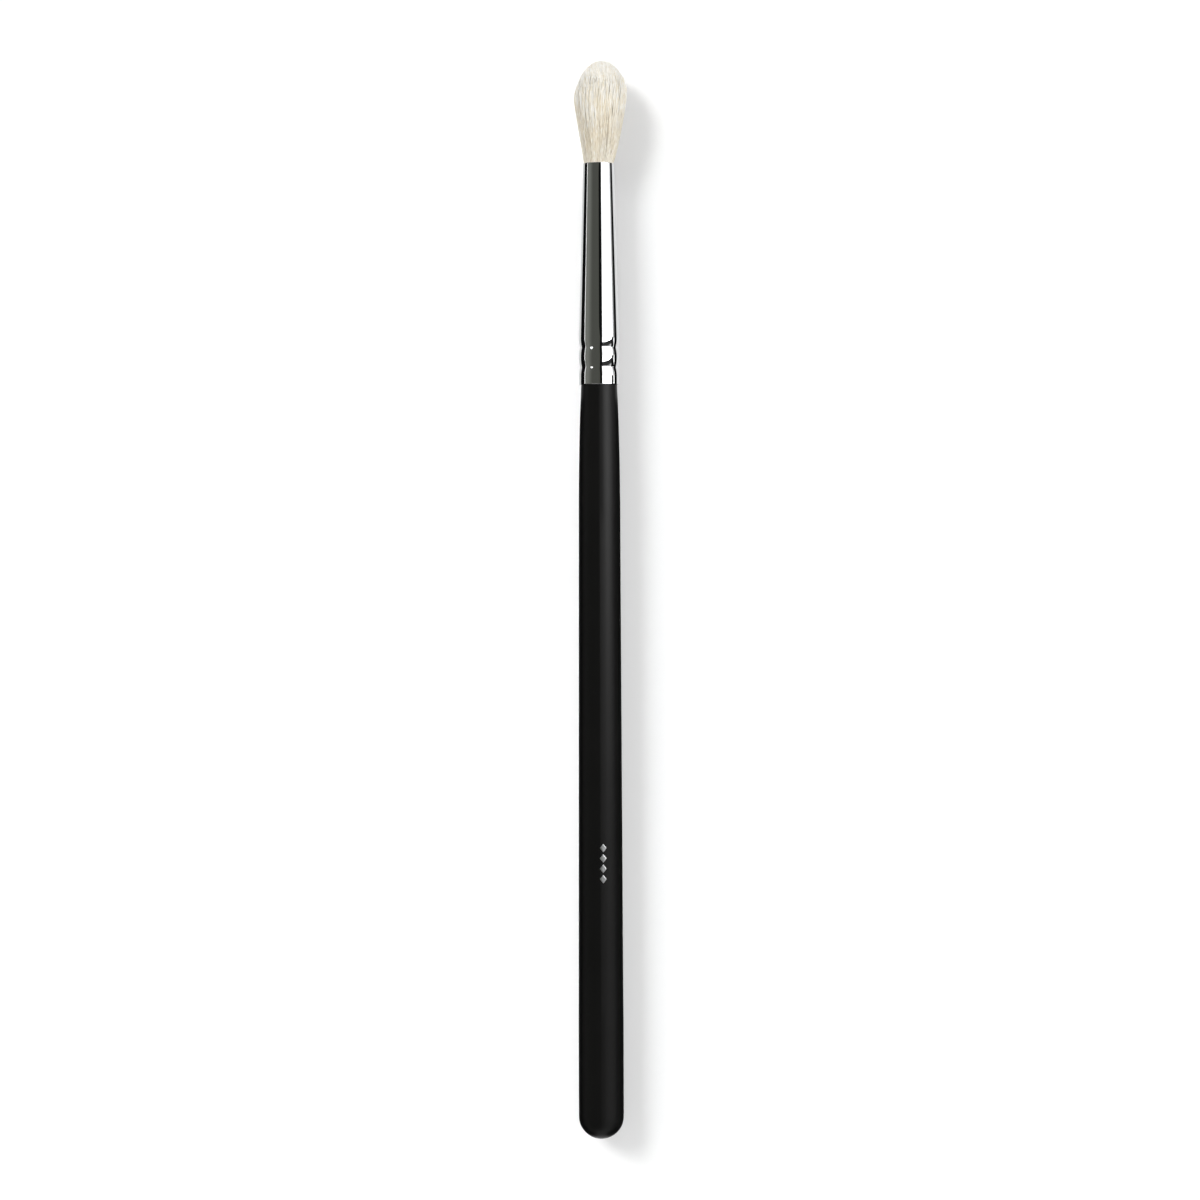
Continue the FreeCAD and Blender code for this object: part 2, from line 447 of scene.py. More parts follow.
def oval_card(name, seen_from, direction, distance, half_width, half_height, material):
    """An oval card that faces a point of the brush, like the front of a small lamp."""
    sideways = direction.cross(Vector((1, 0, 0))).normalized()
    upwards = sideways.cross(direction).normalized()
    points = []
    for step in range(OVAL_STEPS):
        turn = 2 * math.pi * step / OVAL_STEPS
        offset = sideways * (half_width * math.cos(turn)) + upwards * (half_height * math.sin(turn))
        points.append(seen_from + direction * distance + offset)
    card = mesh_piece(name, points, [tuple(range(OVAL_STEPS))])
    dress(card, material)
    mirror_only(card)


def angle_of(finish):
    """The angle at which the brush sees a point of a card, 0 straight up and positive to the right."""
    side = finish.node("ShaderNodeSeparateXYZ", {}, {0: finish.place()}, "Y")
    return side.combine("ARCTAN2", 0 - side, side.pick("Z") - axis_height)


dark_card, shaded = new_finish("dark_card")
card_share = shaded.ramp(angle_of(shaded), math.radians(-74), math.radians(-36))
panel_grey = shaded.blend(card_share, (0.175, 0.180, 0.160), (0.075, 0.077, 0.067))
glow_card(shaded, panel_grey)

black_card = even_card("black_card", 0.004)
line_card = even_card("line_card", 0.035)
grey_card = even_card("grey_card", 0.30)
left_table_card = even_card("left_table_card", 0.70)
# Painted shade: the grey of this card stands for the table lying in shade close to the brush, as the
# ferrule mirrors it.
right_table_card = even_card("right_table_card", 0.80)
lamp_card = even_card("lamp_card", 2.2)
print("card finishes made")

# %% [markdown]
# The softbox hangs in a long wall that is near the brush at its upper edge and far off at its lower one.
# Its cloth ends level with the crimps, in a slanting line. So the slopes of the crimps that face the
# handle look past its end into the dark, which gives the two dark wedges. Further along the wall is a
# little light again, which the handle needs for its long highlight.

# %% The softbox wall
SOFTBOX_ANGLE = math.radians(18.8)
SOFTBOX_NEAR_END = -12 * MM
SOFTBOX_FAR_END = 125 * MM
SOFTBOX_REACH = 1.4
SOFTBOX_FOOT = 30 * MM
softbox_near = (CARD_DISTANCE * math.sin(SOFTBOX_ANGLE), CARD_DISTANCE * math.cos(SOFTBOX_ANGLE))
softbox_far = (SOFTBOX_REACH, SOFTBOX_FOOT - axis_height)
softbox = flat_piece("softbox_wall", [
    (-CARD_END, -softbox_near[0], axis_height + softbox_near[1]),
    (CARD_END, -softbox_near[0], axis_height + softbox_near[1]),
    (CARD_END, -softbox_far[0], axis_height + softbox_far[1]),
    (-CARD_END, -softbox_far[0], axis_height + softbox_far[1]),
])
softbox_cloth, cloth = new_finish("softbox_cloth")
wall_x = cloth.node("ShaderNodeSeparateXYZ", {}, {0: cloth.place()}, "X")
down_wall = (0 - wall_x.pick("Y") - softbox_near[0]) / (softbox_far[0] - softbox_near[0])
past_end = wall_x - (SOFTBOX_NEAR_END + down_wall * (SOFTBOX_FAR_END - SOFTBOX_NEAR_END))
turn_there = angle_of(cloth)
rising = cloth.ramp(turn_there, math.radians(17), math.radians(48), 0.3, 1.0)
falling = cloth.ramp(turn_there, math.radians(48), math.radians(84), 1.0, 0.3)
hot_end = cloth.ramp(past_end, 0.0, 0.10, 7.5, 4.0)
dark_gap = cloth.ramp(wall_x, -0.11, -0.06, 0.68, 0.035)
lit = cloth.ramp(past_end, -1 * MM, 1 * MM)
glow_card(cloth, lit * rising * falling * hot_end + (1 - lit) * dark_gap)
dress(softbox, softbox_cloth)
mirror_only(softbox)
print("softbox wall from", round(softbox_near[1], 3), "m over the axis to", softbox_far[0], "m beside it")

# %% [markdown]
# The other cards follow the stripes on the tube from left to right: the dark panel with a thin line in
# it, a black edge next to the softbox, a dark edge below it, and strips on the table for the fine lines
# at both edges. A small lamp shows as a bright dot in each crimp.

# %% Place the other cards
HANDLE_END = 34 * MM
BAND_CHANGE = 46 * MM
LOWER_EDGE_END = 67 * MM
NEARER = 0.99 * CARD_DISTANCE
NEAREST = 0.28
STRIPS_START = 3.0 * MM
LEFT_LINE_END = 9.4 * MM
LEFT_BLACK_END = 100 * MM
RIGHT_LINE_END = 11.0 * MM
RIGHT_BLACK_END = 33 * MM
RIGHT_GREY_END = 150 * MM
HANDLE_STRIP_END = 900 * MM
curved_card("dark_panel", -88, 11.5, -CARD_END, CARD_END, CARD_DISTANCE, dark_card)
curved_card("thin_dark_line", -4.5, 1.5, -CARD_END, CARD_END, NEARER, line_card)
curved_card("black_edge", 9.0, 18.8, -CARD_END, CARD_END, NEARER, black_card)
curved_card("dark_lower_edge", 78, 90, -CARD_END, LOWER_EDGE_END, NEAREST, black_card)
# This grey strip is painted shade of the table near the brush, seen only in the ferrule.
floor_card("left_table_strip", -STRIPS_START, -LEFT_LINE_END, HANDLE_END, CARD_END, left_table_card)
floor_card("left_black_strip", -LEFT_LINE_END, -LEFT_BLACK_END, HANDLE_END, CARD_END, black_card)
floor_card("left_handle_strip", -STRIPS_START, -HANDLE_STRIP_END, -CARD_END, HANDLE_END, black_card)
floor_card("right_table_strip", STRIPS_START, RIGHT_LINE_END, HANDLE_END, CARD_END, right_table_card)
floor_card("right_black_strip", RIGHT_LINE_END, RIGHT_BLACK_END, HANDLE_END, CARD_END, black_card)
floor_card("right_handle_strip", STRIPS_START, HANDLE_STRIP_END, -CARD_END, HANDLE_END, black_card)
floor_card("right_grey_strip", RIGHT_BLACK_END, RIGHT_GREY_END, BAND_CHANGE, CARD_END, grey_card)

LAMP_HALF_WIDTH = 0.044
LAMP_HALF_HEIGHT = 0.027
CRIMP_FROM_RIM = 4.6 * MM
CRIMP_TURN = math.radians(-22.7)
ferrule_radius = 0.5 * (ferrule_high.y - ferrule_low.y)
crimp_point = on_brush(rim_station + CRIMP_FROM_RIM, ferrule_radius, CRIMP_TURN)
towards_lamp = Vector((0.455, 0.672, 0.592)).normalized()
oval_card("small_lamp", crimp_point, towards_lamp, NEAREST, LAMP_HALF_WIDTH, LAMP_HALF_HEIGHT, lamp_card)

# %% [markdown]
# Pale hair throws much light into its own shadow. A photographer would lay a small black flag beside the
# tuft, out of the picture. Here the flag lies on the table and only matt surfaces meet it, and it fades
# out towards its edge, so that the shadow gets as deep beside the hair as it is beside the handle.

# %% A black flag beside the tuft
FLAG_SHARE = 0.36
FLAG_LENGTH = 12 * MM
FLAG_WIDTH = 6.5 * MM
FLAG_SHIFT = 4 * MM
FLAG_LIFT = 0.03 * MM
flag_x = 0.5 * (ferrule_high.x + tuft_high.x) - FLAG_SHIFT
flag_middle = Vector((flag_x, tuft_low.y, FLAG_LIFT))
flag = flat_piece("tuft_flag", [flag_middle + Vector((a * FLAG_LENGTH, b * FLAG_WIDTH, 0))
                                for a, b in SQUARE])
flag_cloth, veil = new_finish("flag_cloth")
offset = (veil.place() - tuple(flag_middle)) / (FLAG_LENGTH, FLAG_WIDTH, 1.0)
from_middle = veil.node("ShaderNodeVectorMath", {"operation": "LENGTH"}, {0: offset}, "Value")
flag_share = veil.ramp(from_middle, 1.0, 0.45, 0.0, FLAG_SHARE)
no_flag = veil.node("ShaderNodeBsdfTransparent")
felt = veil.node("ShaderNodeBsdfDiffuse", {}, {"Color": (0, 0, 0, 1)})
faded = veil.node("ShaderNodeMixShader", {}, {0: flag_share, 1: no_flag, 2: felt})
veil.node("ShaderNodeOutputMaterial", {}, {"Surface": faded})
dress(flag, flag_cloth)
mirror_only(flag)
flag.visible_diffuse = True
flag.visible_glossy = False
print("flag beside the tuft, mm:", round(2 * FLAG_LENGTH / MM, 1), "by", round(2 * FLAG_WIDTH / MM, 1))

# %% [markdown]
# The handle is turned wood under several coats of black lacquer that were rubbed to a satin. Black is
# never a flat colour: the lacquer is a little uneven in gloss, the wood under it shows as long shallow
# lines, and the rubbing leaves a fine grain that breaks up the highlight. All three come from noise, one
# of them stretched along the handle.

# %% Black satin lacquer on the handle
lacquer, coat = new_finish("black_satin_lacquer")
spot = coat.place()
rubbing = coat.noise(spot, 0.22 * MM, 3.0, 0.6)
wood_lines = coat.noise(spot * (0.06, 1.0, 1.0), 0.35 * MM, 3.0, 0.55)
cloud = coat.noise(spot, 9 * MM, 2.0)
uneven = cloud * 0.5 + rubbing * 0.5
lacquer_colour = coat.blend(uneven, (0.0034, 0.0033, 0.0033), (0.0060, 0.0059, 0.0057))
lacquer_gloss = 0.31 + rubbing * 0.10 + (cloud - 0.5) * 0.06
lacquer_height = rubbing * 0.6 + wood_lines * 0.4
coat.shade({
    "Base Color": lacquer_colour,
    "Roughness": lacquer_gloss,
    "Normal": coat.bump(lacquer_height, 0.0022 * MM),
    "Specular IOR Level": 0.20,
})
dress(frame["nodes"]["handle"], lacquer)
print("handle:", len(frame["nodes"]["handle"].data.polygons), "faces, lacquered")

# %% [markdown]
# The ferrule is a drawn tube, plated and polished, then rolled down in two places to grip the handle. A
# mirror needs little: a bright neutral metal, a gloss that varies with the polishing lines, and a very
# shallow waviness from drawing the tube.

# %% Plated metal on the ferrule
plating, metal = new_finish("plated_metal")
spot = metal.place()
draw_lines = metal.noise(spot * (0.03, 1.0, 1.0), 0.12 * MM, 2.0)
smears = metal.noise(spot * (0.4, 1.0, 1.0), 2.2 * MM, 3.0, 0.6)
plating_colour = metal.blend(smears, (0.84, 0.85, 0.86), (0.90, 0.91, 0.92))
plating_gloss = 0.025 + metal.ramp(smears, 0.45, 0.75) * 0.03 + draw_lines * 0.03
metal.shade({
    "Base Color": plating_colour,
    "Metallic": 1.0,
    "Roughness": plating_gloss,
    "Normal": metal.bump(draw_lines, 0.0002 * MM),
})
dress(frame["nodes"]["ferrule"], plating)
print("ferrule:", len(frame["nodes"]["ferrule"].data.polygons), "faces, plated")

# %% [markdown]
# Inside the ferrule lie three things that only a cut would show, and they get finishes too: the glue on
# the tenon is milky and slightly pitted, the hard glue round the hair roots is amber and glossy, and the
# tie is twisted cotton whose plies run across the thread.

# %% Glues and thread
milky, film = new_finish("milky_glue")
pits = film.noise(film.place(), 0.5 * MM, 3.0)
film.shade({
    "Base Color": film.blend(pits, (0.74, 0.71, 0.62), (0.84, 0.82, 0.75)),
    "Roughness": 0.5 + pits * 0.25,
    "Normal": film.bump(pits, 0.02 * MM),
})
dress(frame["nodes"]["tenon_glue"], milky)

amber, resin = new_finish("amber_glue")
flow = resin.noise(resin.place(), 1.2 * MM, 3.0)
resin.shade({
    "Base Color": resin.blend(flow, (0.50, 0.33, 0.12), (0.70, 0.54, 0.28)),
    "Roughness": 0.12 + flow * 0.12,
    "Normal": resin.bump(flow, 0.02 * MM),
})
dress(frame["nodes"]["root_glue_plug"], amber)

cotton, yarn = new_finish("twisted_cotton")
spot = yarn.place()
plies = yarn.node("ShaderNodeTexWave", {"wave_type": "BANDS", "bands_direction": "DIAGONAL"},
                  {"Vector": spot, "Scale": 900.0, "Distortion": 1.5, "Detail": 2.0}, "Fac")
fuzz = yarn.noise(spot, 0.08 * MM, 3.0)
yarn.shade({
    "Base Color": yarn.blend(plies * 0.7 + fuzz * 0.3, (0.52, 0.47, 0.38), (0.78, 0.74, 0.66)),
    "Roughness": 0.75 + fuzz * 0.2,
    "Normal": yarn.bump(plies, 0.04 * MM),
})
dress(frame["nodes"]["root_tie_thread"], cotton)
print("hidden pieces finished: tenon_glue, root_glue_plug, root_tie_thread")

# %% [markdown]
# A small silver ornament is stamped on the handle, facing up: four plain lozenges of foil in a row. Foil
# follows the wood, so every point is dropped onto the handle by a ray and then lifted by the thickness of
# the foil. The rim is pushed into the lacquer, as the hot stamp does.

# %% Foil lozenges on the handle
FOIL_STATION = 46.3 * MM
FOIL_TURN = math.radians(6.7)
LOZENGE_LENGTH = 1.5 * MM
LOZENGE_WIDTH = 1.25 * MM
LOZENGE_STEP = 1.72 * MM
LOZENGE_COUNT = 4
FOIL_THICKNESS = 0.02 * MM
FOIL_GRID = 10


def foil_point(station, sideways, lift):
    """A point over the handle, this far along it and to its side, lifted off the lacquer."""
    handle = frame["nodes"]["handle"]
    turn = FOIL_TURN + sideways / (0.5 * (handle_high.y - handle_low.y))
    start = on_brush(station, 10 * MM, turn)
    inward = (on_brush(station, 0, turn) - start).normalized()
    place = handle.ray_cast(start, inward)[1]
    return place - inward * lift


def lozenge(points, faces, centre):
    """Adds one lozenge to the lists: a grid of points turned by an eighth, with a pressed rim."""
    first = len(points)
    for row in range(FOIL_GRID + 1):
        for column in range(FOIL_GRID + 1):
            a = row / FOIL_GRID - 0.5
            b = column / FOIL_GRID - 0.5
            rim = row in (0, FOIL_GRID) or column in (0, FOIL_GRID)
            lift = -0.3 * FOIL_THICKNESS if rim else FOIL_THICKNESS
            station = centre + (a + b) * LOZENGE_LENGTH / 2
            points.append(foil_point(station, (a - b) * LOZENGE_WIDTH / 2, lift))
    for row in range(FOIL_GRID):
        for column in range(FOIL_GRID):
            corner = first + row * (FOIL_GRID + 1) + column
            faces.append((corner, corner + FOIL_GRID + 1, corner + FOIL_GRID + 2, corner + 1))


foil_points = []
foil_faces = []
for number in range(LOZENGE_COUNT):
    lozenge(foil_points, foil_faces, FOIL_STATION + (number - (LOZENGE_COUNT - 1) / 2) * LOZENGE_STEP)
foil = mesh_piece("foil_lozenges", foil_points, foil_faces)
foil.data.shade_smooth()

silver, leaf = new_finish("silver_foil")
specks = leaf.noise(leaf.place(), 0.16 * MM, 3.0, 0.65)
worn = leaf.ramp(specks, 0.60, 0.72)
leaf.shade({
    "Base Color": leaf.blend(worn, (0.80, 0.81, 0.82), (0.30, 0.30, 0.31)),
    "Metallic": 1.0,
    "Roughness": 0.22 + specks * 0.25,
    "Normal": leaf.bump(specks, 0.004 * MM),
})
dress(foil, silver)
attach(foil, "root")
print("foil:", LOZENGE_COUNT, "lozenges,", len(foil_faces), "faces")

# %% [markdown]
# The tuft is a bundle of cream hair, set in the ferrule with its natural tips outward. It swells from the
# mouth to a belly and closes in a dome, because the hairs in the middle are longer. A particle system
# would not survive an export to a mesh file, so each hair is a thin three-sided tube that bends along its
# own path.
# First comes the outline of the bundle, from the size of its CAD solid.

# %% The outline of the tuft
MOUTH_RADIUS = 2.24 * MM
FOOT_RADIUS = 2.46 * MM
ROOT_RADIUS = 2.10 * MM
ROOT_DEPTH = 11.8 * MM
BELLY_SHARE = 0.64
FLARE_POWER = 1.15
DOME_POWER = 1.7
INWARD_BEND = 0.35
ROOT_LEAN = 0.27 * MM
TIP_LEAN = 0.30 * MM
hair_length = tip_station - mouth_station
belly_radius = 0.5 * (tuft_high.y - tuft_low.y)
belly_height = BELLY_SHARE * hair_length


def spread(height):
    """The radius of the outermost hair at heights over the mouth, before the dome cuts off the tips."""
    height = np.asarray(height, float)
    below = np.clip((belly_height - height) / belly_height, 0, 1)
    over = np.clip((height - belly_height) / (hair_length - belly_height), 0, 1)
    flare = belly_radius - (belly_radius - FOOT_RADIUS) * below ** FLARE_POWER
    flare = flare * (1 - INWARD_BEND * over ** 2)
    lip = MOUTH_RADIUS + 1.1 * np.clip(height, 0, None)
    inside = ROOT_RADIUS + (MOUTH_RADIUS - ROOT_RADIUS) * np.clip(1 + height / ROOT_DEPTH, 0, 1)
    return np.where(height < 0, inside, np.minimum(flare, lip))


def dome(height):
    """The radius of the whole tuft at heights over the mouth, with its rounded end."""
    over = np.clip((np.asarray(height, float) - belly_height) / (hair_length - belly_height), 0, 1)
    return np.where(over > 0, belly_radius * np.sqrt(1 - over ** DOME_POWER), spread(height))


def end_height(share):
    """Where a hair at this share of the bundle's radius comes out of the dome."""
    over = np.linspace(1, 0, 200)
    share_there = np.sqrt(1 - over ** DOME_POWER) / (1 - INWARD_BEND * over ** 2)
    return belly_height + (hair_length - belly_height) * np.interp(share, share_there, over)


def in_tuft(height, side, rise):
    """World points for heights over the mouth and offsets to the right and upwards, as arrays."""
    lean = ROOT_LEAN * (1 - np.exp(-np.clip(height, 0, None) / (1.6 * MM)))
    over = np.clip((height - 0.9 * belly_height) / (0.35 * belly_height), 0, 1)
    lean = lean + TIP_LEAN * over ** 2 * (3 - 2 * over)
    mouth = np.array(butt + along * mouth_station)
    point = mouth + height[..., None] * np.array(along)
    point = point + (side + lean)[..., None] * np.array(across) + rise[..., None] * np.array(above)
    point[..., 2] = np.maximum(point[..., 2], 0.01 * MM)
    return point


print("tuft, mm: length", round(hair_length / MM, 2), "belly radius", round(belly_radius / MM, 2))

# %% [markdown]
# Behind the outer hairs the bundle is full. A closed core, a little smaller than the outline, stands for
# the hair that can't be seen, so no light leaks through. It is lathed from the same outline and fluted,
# because even the deepest glimpse between the hairs shows hairs.

# %% The full core of the bundle
CORE_SHARE = 0.90
CORE_RISE = 0.975
CORE_TURNS = 144
CORE_ROWS = 48
FLUTE_DEPTH = 0.02


def core_mesh():
    """A closed lathed body, fluted lengthways."""
    low = -ROOT_DEPTH
    high = hair_length * CORE_RISE
    rows = np.linspace(0, 1, CORE_ROWS)
    heights = low + (high - low) * (1 - (1 - rows) ** 1.6)
    radii = CORE_SHARE * dome(heights / CORE_RISE)
    radii[0] *= 0.6
    radii[-1] = 0.05 * MM
    turns = np.linspace(0, 2 * math.pi, CORE_TURNS, endpoint=False)
    flutes = 1 + FLUTE_DEPTH * np.where(np.arange(CORE_TURNS) % 2, 1, -1)
    radius = radii[:, None] * flutes[None, :]
    height = np.repeat(heights[:, None], CORE_TURNS, 1)
    points = in_tuft(height, radius * np.sin(turns), radius * np.cos(turns)).reshape(-1, 3)
    faces = []
    for row in range(CORE_ROWS - 1):
        for turn in range(CORE_TURNS):
            following = (turn + 1) % CORE_TURNS
            a = row * CORE_TURNS
            b = a + CORE_TURNS
            faces.append((a + turn, b + turn, b + following, a + following))
    faces.append(tuple(range(CORE_TURNS)))
    faces.append(tuple(reversed(range((CORE_ROWS - 1) * CORE_TURNS, CORE_ROWS * CORE_TURNS))))
    mesh = bpy.data.meshes.new("hair_core")
    mesh.from_pydata(points.tolist(), [], faces)
    mesh.shade_smooth()
    return mesh


core = show_piece("hair_core", core_mesh())
core_hair, bundle = new_finish("core_hair")
spot = bundle.place()
hair_lines = bundle.noise(spot * (0.02, 1.0, 1.0), 0.10 * MM, 2.0, 0.6)
bundle.shade({
    "Base Color": bundle.blend(hair_lines, (0.74, 0.66, 0.52), (0.90, 0.86, 0.76)),
    "Roughness": 0.55 + hair_lines * 0.2,
    "Normal": bundle.bump(hair_lines, 0.05 * MM),
})
dress(core, core_hair)
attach(core, "root")
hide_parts("bristle_tuft")
print("core:", len(core.data.polygons), "faces")

# %% [markdown]
# Real hair is never even. The hairs stand in locks that close up towards their tips, some are shorter,
# some cross their neighbours, and each has its own shade. The roots are laid out like the seeds of a
# sunflower, which fills a circle evenly, and a seeded generator then gives each hair its own turns.

# %% Lay out the hairs
HAIR_COUNT = 9000
LOCK_COUNT = 3000
LAYERS = 7
PATH_POINTS = 12
LOCK_PULL = 0.40
GOLDEN_TURN = math.pi * (3 - math.sqrt(5))
ROOT_JITTER = 0.008
LOCK_JITTER = 0.012
LOCK_TRIM = 0.09 * MM
chance = np.random.default_rng(20)


def sunflower(count):
    """Evenly spread places in a circle of radius 1, as an array of two columns."""
    number = np.arange(count) + 0.5
    radius = np.sqrt(number / count)
    turn = number * GOLDEN_TURN
    return np.stack([radius * np.cos(turn), radius * np.sin(turn)], 1)


roots = sunflower(HAIR_COUNT) + chance.normal(0, ROOT_JITTER, (HAIR_COUNT, 2))
root_share = np.linalg.norm(roots, axis=1)
roots *= (np.clip(root_share, 0, 0.995) / root_share)[:, None]
root_share = np.linalg.norm(roots, axis=1)
lock_centres = sunflower(LOCK_COUNT) * 0.98 + chance.normal(0, LOCK_JITTER, (LOCK_COUNT, 2))
lock_of = np.argmin(((roots[:, None, :] - lock_centres[None, :, :]) ** 2).sum(2), 1)
lock_tone = chance.normal(0, 1, LOCK_COUNT)
lock_trim = chance.normal(0, LOCK_TRIM, LOCK_COUNT)
print("hairs:", HAIR_COUNT, "in", LOCK_COUNT, "locks of about", HAIR_COUNT // LOCK_COUNT)

# %% [markdown]
# Each path starts at the root, deep in the ferrule, passes the mouth and follows the outline at its own
# share of the radius. Towards the tip it is pulled to the middle of its lock, and small waves keep
# neighbours from running exactly side by side.

# %% Bend the paths
HAIR_TRIM = 0.07 * MM
SHORT_SHARE = 0.08
SHORT_BY = 1.2 * MM
TIP_SINK = 0.24 * MM
TIP_GAP = 0.03 * MM
MOUTH_DIP = 0.6 * MM
LOCK_SWAY = 0.018
HAIR_SWAY = 0.007
CALM_HEIGHT = 2 * MM
trim = lock_trim[lock_of] + chance.normal(0, HAIR_TRIM, HAIR_COUNT)
short_hairs = chance.random(HAIR_COUNT) < SHORT_SHARE
trim -= short_hairs * chance.random(HAIR_COUNT) * SHORT_BY
tips = end_height(root_share) + trim - TIP_SINK
tips = np.clip(tips, 0.5 * hair_length, hair_length - TIP_GAP)
steps = np.concatenate([[0.0], np.linspace(0, 1, PATH_POINTS - 1) ** 0.9])
heights = steps[None, :] * (tips + MOUTH_DIP)[:, None] - MOUTH_DIP
heights[:, 0] = -ROOT_DEPTH
rise_share = np.clip(heights / hair_length, 0, 1)
pull = LOCK_PULL * rise_share ** 0.7


def sway(count, size, member):
    """Small sideways waves for that many bundles, given to the hairs that are members of them."""
    swing = chance.normal(0, size, (count, 2))[member][:, None, :]
    start = chance.uniform(0, 2 * math.pi, (count, 2))[member][:, None, :]
    rate = chance.uniform(5, 14, (count, 2))[member][:, None, :]
    return swing * np.sin(rise_share[:, :, None] * rate + start)


wave = sway(LOCK_COUNT, LOCK_SWAY, lock_of) + sway(HAIR_COUNT, HAIR_SWAY, np.arange(HAIR_COUNT))
wave = wave * np.clip(heights / CALM_HEIGHT, 0, 1)[:, :, None]
places = roots[:, None, :] + pull[:, :, None] * (lock_centres[lock_of] - roots)[:, None, :] + wave
off_axis = np.linalg.norm(places, axis=2)
places *= (np.clip(off_axis, 0, 1.0) / np.maximum(off_axis, 1e-6))[:, :, None]
bundle_radius = spread(heights)
paths = in_tuft(heights, places[:, :, 0] * bundle_radius, places[:, :, 1] * bundle_radius)
print("longest hair outside the ferrule, mm:", round(float(tips.max()) / MM, 2))

# %% [markdown]
# Now the tubes. Every path point gets a small triangle across the path, and the triangles are joined to
# a closed tube that thins out to its tip. Each tube has its own strip in a texture map, so that baked
# colour can change along each hair. Four numbers ride on the points for the shader: how far up the tuft
# they are, how far from the tip of the hair, the shade of the hair, and the shade of its lock.

# %% Turn paths into hairs
HAIR_WIDTH = 0.12 * MM
SIDES = 3
OUTWARD_SHARE = 0.6
TAPER_LENGTH = 2.2 * MM
TIP_SHARE = 0.60


def hair_widths(chosen):
    """Half widths along the chosen hairs: fuller where the bundle is fuller, fine at the tip."""
    fullness = bundle_radius[chosen] / belly_radius
    left = (tips[chosen][:, None] - heights[chosen]) / TAPER_LENGTH
    taper = TIP_SHARE + (1 - TIP_SHARE) * np.clip(left, 0, 1) ** 0.7
    own = chance.uniform(0.75, 1.25, len(chosen))[:, None]
    return 0.5 * HAIR_WIDTH * fullness * taper * own


def bundle_normals(chosen):
    """Where the surface of the whole tuft faces, at the path points of the chosen hairs."""
    over = np.clip(heights[chosen] - belly_height, 0, None) / (hair_length - belly_height) ** 2
    sideways = places[chosen] * (bundle_radius[chosen] / belly_radius ** 2)[:, :, None]
    normal = over[:, :, None] * np.array(along)
    normal = normal + sideways[:, :, :1] * np.array(across) + sideways[:, :, 1:] * np.array(above)
    return normal / np.maximum(np.linalg.norm(normal, axis=2, keepdims=True), 1e-9)


def tube_points(chosen):
    """The three corners at each path point and their normals, by hair, point, corner and coordinate.

    The normals lean from the tube's own towards those of the whole tuft, because light that passes from
    hair to hair makes a tuft shade more like one soft body than like a heap of rods.
    """
    path = paths[chosen]
    direction = np.gradient(path, axis=1)
    direction /= np.linalg.norm(direction, axis=2, keepdims=True)
    middle = np.array(butt + along * mouth_station)
    outward = path - middle
    outward -= direction * (outward * direction).sum(2, keepdims=True)
    outward /= np.maximum(np.linalg.norm(outward, axis=2, keepdims=True), 1e-9)
    sideways = np.cross(direction, outward)
    half = hair_widths(chosen)[:, :, None]
    whole = bundle_normals(chosen)
    corners = []
    normals = []
    for side in range(SIDES):
        turn = 2 * math.pi * side / SIDES
        own = math.cos(turn) * outward + math.sin(turn) * sideways
        corners.append(path + half * own)
        leaning = (1 - OUTWARD_SHARE) * own + OUTWARD_SHARE * whole
        normals.append(leaning / np.maximum(np.linalg.norm(leaning, axis=2, keepdims=True), 1e-9))
    return np.stack(corners, 2), np.stack(normals, 2)


def tube_faces(count):
    """The faces of that many tubes: the sides and the two end triangles."""
    ring = np.arange(count * PATH_POINTS).reshape(count, PATH_POINTS) * SIDES
    low = ring[:, :-1].reshape(-1, 1)
    high = ring[:, 1:].reshape(-1, 1)
    side = np.arange(SIDES)
    following = (side + 1) % SIDES
    quads = np.stack([low + side, low + following, high + following, high + side], 2).reshape(-1, 4)
    root_ends = ring[:, 0][:, None] + np.array([2, 1, 0])
    tip_ends = ring[:, -1][:, None] + np.array([0, 1, 2])
    return quads, np.concatenate([root_ends, tip_ends])


print("each hair:", (PATH_POINTS - 1) * SIDES * 2 + 2, "triangles")

# %% The texture strips
STRIP_ROWS = 8
STRIP_MARGIN = 0.12


def strip_map(mesh, count):
    """A map that gives every hair a strip of its own, with its length up the strip."""
    columns = math.ceil(count / STRIP_ROWS)
    corner = np.zeros(len(mesh.loops), np.int32)
    mesh.loops.foreach_get("vertex_index", corner)
    hair = corner // (PATH_POINTS * SIDES)
    point = (corner // SIDES) % PATH_POINTS
    side = corner % SIDES
    inner = 1 - 2 * STRIP_MARGIN
    u = (hair % columns + STRIP_MARGIN + inner * side / (SIDES - 1)) / columns
    v = (hair // columns + STRIP_MARGIN + inner * point / (PATH_POINTS - 1)) / STRIP_ROWS
    layer = mesh.uv_layers.new(name="OFBake")
    layer.data.foreach_set("uv", np.stack([u, v], 1).astype(np.float32).ravel())


def carry(mesh, name, values):
    """Stores one number for each point of the mesh."""
    store = mesh.attributes.new(name, "FLOAT", "POINT")
    store.data.foreach_set("value", np.asarray(values, np.float32).ravel())


hair_tone = chance.normal(0, 1, HAIR_COUNT)


def hair_layer(name, chosen):
    """One piece made of the chosen hairs."""
    points, normals = tube_points(chosen)
    quads, ends = tube_faces(len(chosen))
    mesh = bpy.data.meshes.new(name)
    mesh.from_pydata(points.reshape(-1, 3).tolist(), [], quads.tolist() + ends.tolist())
    mesh.shade_smooth()
    mesh.normals_split_custom_set_from_vertices(normals.reshape(-1, 3).tolist())
    each = PATH_POINTS * SIDES
    strip_map(mesh, len(chosen))
    carry(mesh, "along", np.repeat(rise_share[chosen][:, :, None], SIDES, 2))
    to_tip = (tips[chosen][:, None] - heights[chosen]) / MM
    carry(mesh, "to_tip", np.repeat(to_tip[:, :, None], SIDES, 2))
    carry(mesh, "tone", np.repeat(hair_tone[chosen], each))
    carry(mesh, "lock", np.repeat(lock_tone[lock_of[chosen]], each))
    return show_piece(name, mesh)


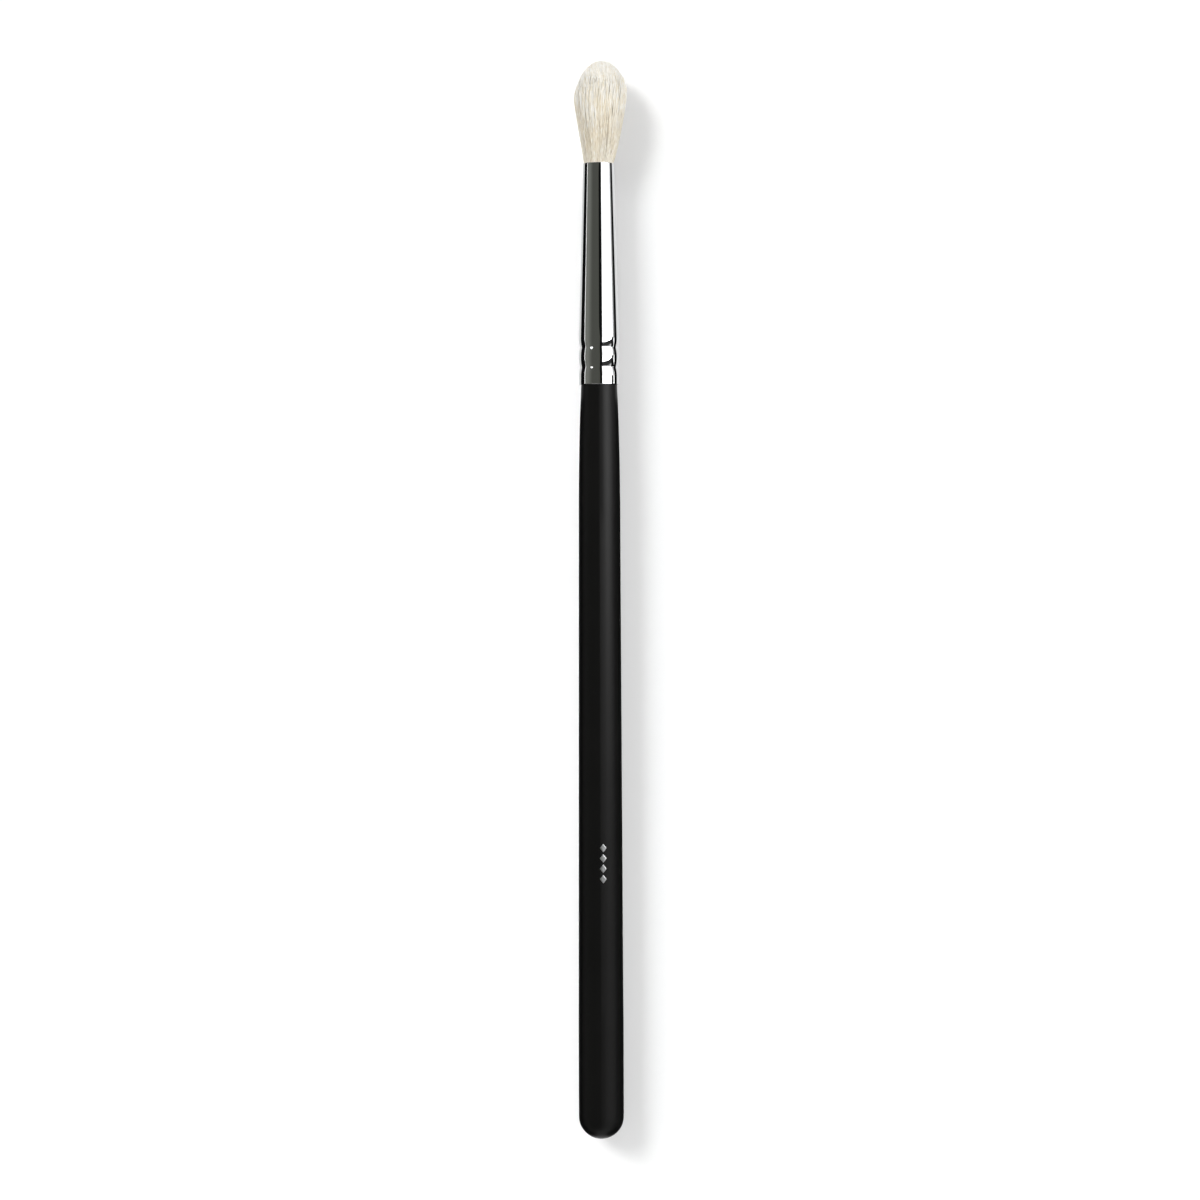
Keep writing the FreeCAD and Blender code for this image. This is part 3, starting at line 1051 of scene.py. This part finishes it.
print("strips:", STRIP_ROWS, "rows of", math.ceil(HAIR_COUNT / LAYERS / STRIP_ROWS))

# %% [markdown]
# Cream goat hair is nearly white at the tip and ivory in the middle. The colour is painted paler towards
# the tip and over the dome, partly for the hair's own paler tips and partly as painted light for the light
# that shines through the thin tips, and painted darker near the root as painted shade where the hairs
# crowd together. Each hair and each lock has its own shade, fine streaks make neighbours differ, and wide
# soft patches lean to beige. A few small spots are painted almost white as painted glints, and the gloss
# is soft.

# %% Cream hair
cream, strand = new_finish("cream_hair")
lengthways = strand.attribute("along")
to_tip = strand.attribute("to_tip")
tone = strand.attribute("tone")
lock = strand.attribute("lock")
place = strand.place()
streaks = strand.noise(place * (0.06, 1.0, 1.0), 0.17 * MM, 1.0, 0.6)
painted_glint_noise = strand.noise(place * (0.35, 1.0, 1.0), 0.10 * MM, 1.0)
patches = strand.noise(place * (0.5, 1.0, 1.0), 2.5 * MM, 1.0)
# Paler towards the tip and over the dome: partly the hair's own paler tips, partly painted light for the
# light that shines through the thin tips.
pale_tip_glow = strand.ramp(to_tip, 5.5, 0.3, 0.0, 0.22)
pale_dome_glow = strand.ramp(lengthways, 0.45, 0.95, 0.0, 0.24)
# Painted shade: the colour is darker near the root, where the hairs crowd together.
root_shade = strand.ramp(lengthways, 0.0, 0.40, 0.05, 0.0)
shade = -0.34 + lock * 0.03 + tone * 0.17 + streaks * 1.8 + pale_tip_glow + pale_dome_glow - root_shade
pale = strand.node("ShaderNodeValToRGB", {"stops": [
    (0.0, (0.56, 0.50, 0.41)),
    (0.35, (0.77, 0.72, 0.62)),
    (0.65, (0.85, 0.80, 0.68)),
    (1.0, (0.98, 0.97, 0.93)),
]}, {"Fac": shade})
warm = strand.node("ShaderNodeValToRGB", {"stops": [
    (0.0, (0.58, 0.48, 0.34)),
    (0.35, (0.79, 0.70, 0.54)),
    (0.65, (0.86, 0.77, 0.58)),
    (1.0, (0.98, 0.95, 0.87)),
]}, {"Fac": shade})
body = strand.blend(strand.ramp(patches, 0.35, 0.65, 0.25, 0.75), pale, warm)
# Painted highlights: small near-white spots in the hair's base colour stand for glints of light on the
# hairs.
painted_glints = strand.ramp(painted_glint_noise, 0.74, 0.82, 0.0, 0.8)
hair_colour = strand.blend(painted_glints, body, (0.99, 0.98, 0.94))
strand.shade({
    "Base Color": hair_colour,
    "Roughness": 0.42 + strand.ramp(tone, -2.0, 2.0, 0.14, 0.0),
    "Specular IOR Level": 0.45,
})

order = np.argsort(-root_share, kind="stable")
for number, chosen in enumerate(np.array_split(order, LAYERS)):
    layer = hair_layer(f"hair_layer_{number + 1}", np.sort(chosen))
    dress(layer, cream)
    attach(layer, "root")
    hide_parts("bristle_tuft")
    print(layer.name, "hairs", len(chosen), "faces", len(layer.data.polygons))
